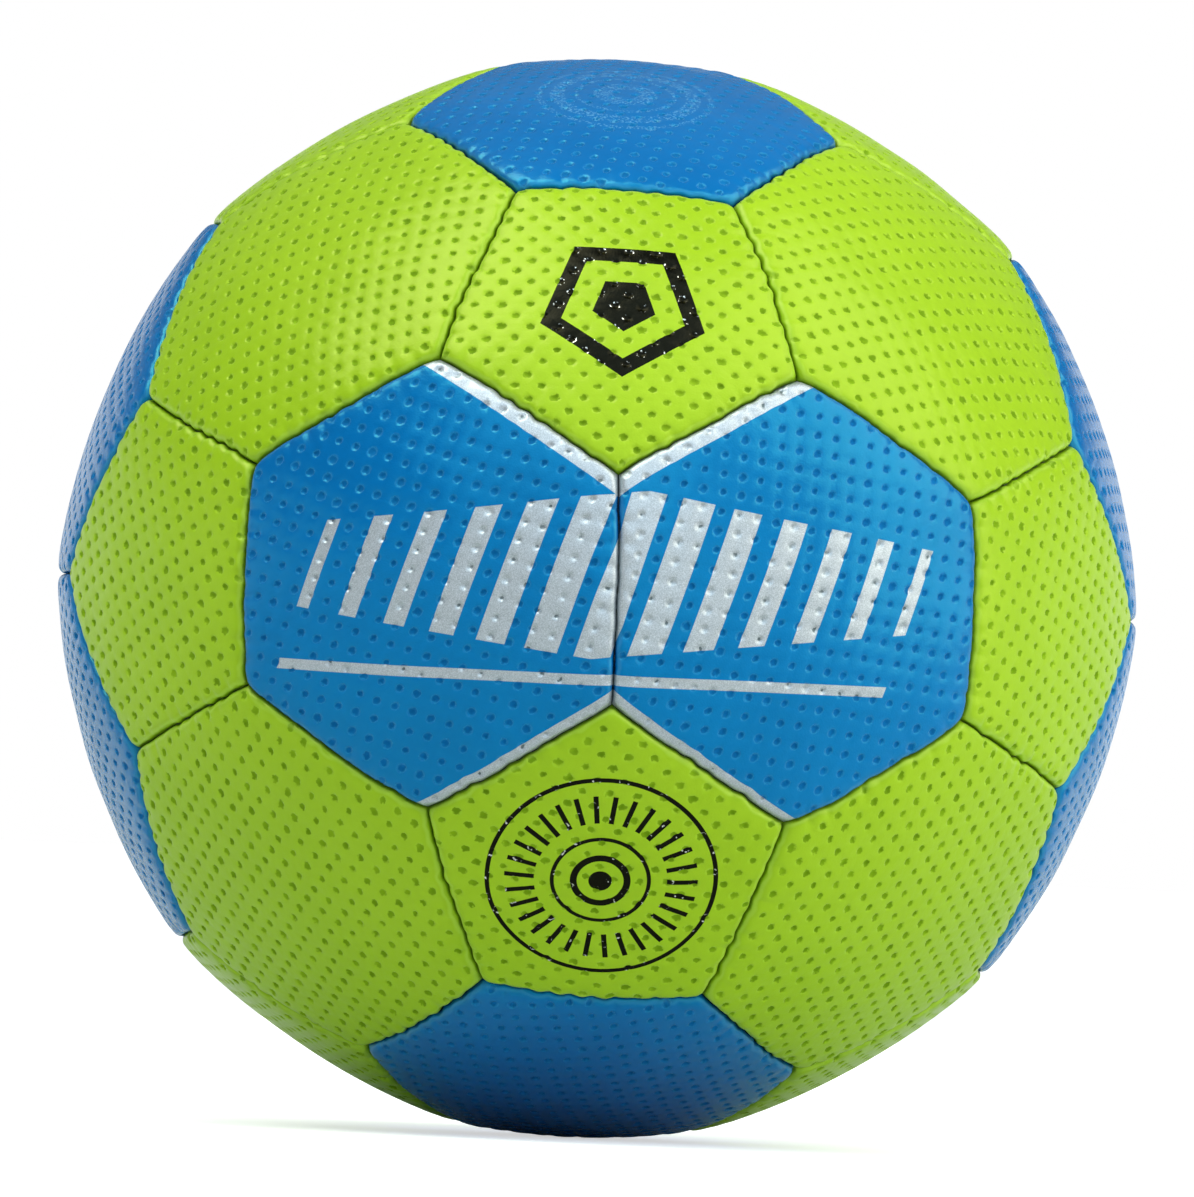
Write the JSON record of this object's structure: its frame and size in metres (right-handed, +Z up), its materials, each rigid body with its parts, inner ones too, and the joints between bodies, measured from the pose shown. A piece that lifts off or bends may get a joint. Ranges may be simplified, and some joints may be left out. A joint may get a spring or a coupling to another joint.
{
  "type": "handball",
  "caption": "Hand-stitched handball of blue and green dimpled hexagon and pentagon panels over an air bladder, with a needle valve.",
  "frame": {"origin": "centre of the ball", "axes": "+Z up and -Y to the front, which is the pair of blue hexagons whose shared seam runs up and down; the valve is in the lower back pentagon, on the plane X = 0"},
  "size_m": [0.1884, 0.1884, 0.1884],
  "materials": {
    "blue_leather": "coated synthetic leather with pressed dimples, satin",
    "green_leather": "coated synthetic leather with pressed dimples, satin",
    "lining": "laminated cloth and foam",
    "thread": "waxed polyester thread",
    "bladder_rubber": "butyl rubber",
    "patch_cloth": "rubberised cloth",
    "socket_rubber": "moulded rubber",
    "core_rubber": "moulded rubber"
  },
  "bodies": {
    "root": {"blue_hexagon_front_left": "blue_leather", "blue_hexagon_front_right": "blue_leather", "blue_hexagon_back_left": "blue_leather", "blue_hexagon_back_right": "blue_leather", "blue_hexagon_top_front": "blue_leather", "blue_hexagon_top_back": "blue_leather", "blue_hexagon_bottom_front": "blue_leather", "blue_hexagon_bottom_back": "blue_leather", "blue_hexagon_left_upper": "blue_leather", "blue_hexagon_left_lower": "blue_leather", "blue_hexagon_right_upper": "blue_leather", "blue_hexagon_right_lower": "blue_leather", "green_hexagon_front_upper_left": "green_leather", "green_hexagon_front_upper_right": "green_leather", "green_hexagon_front_lower_left": "green_leather", "green_hexagon_front_lower_right": "green_leather", "green_hexagon_back_upper_left": "green_leather", "green_hexagon_back_upper_right": "green_leather", "green_hexagon_back_lower_left": "green_leather", "green_hexagon_back_lower_right": "green_leather", "green_pentagon_front_upper": "green_leather", "green_pentagon_front_lower": "green_leather", "green_pentagon_back_upper": "green_leather", "green_pentagon_back_lower": "green_leather", "green_pentagon_top_left": "green_leather", "green_pentagon_top_right": "green_leather", "green_pentagon_bottom_left": "green_leather", "green_pentagon_bottom_right": "green_leather", "green_pentagon_left_front": "green_leather", "green_pentagon_left_back": "green_leather", "green_pentagon_right_front": "green_leather", "green_pentagon_right_back": "green_leather", "blue_hexagon_linings": "lining", "green_hexagon_linings": "lining", "green_pentagon_linings": "lining", "hexagon_seam_threads": "thread", "pentagon_seam_threads": "thread", "bladder": "bladder_rubber", "valve_patch": "patch_cloth", "valve_socket": "socket_rubber"},
    "core": {"valve_core": "core_rubber"}
  },
  "joints": [
    {"name": "valve_core_pull", "type": "slide", "parent": "root", "child": "core", "axis": [0, 0.8507, -0.5257], "range_m": [0, 0.0165]}
  ]
}
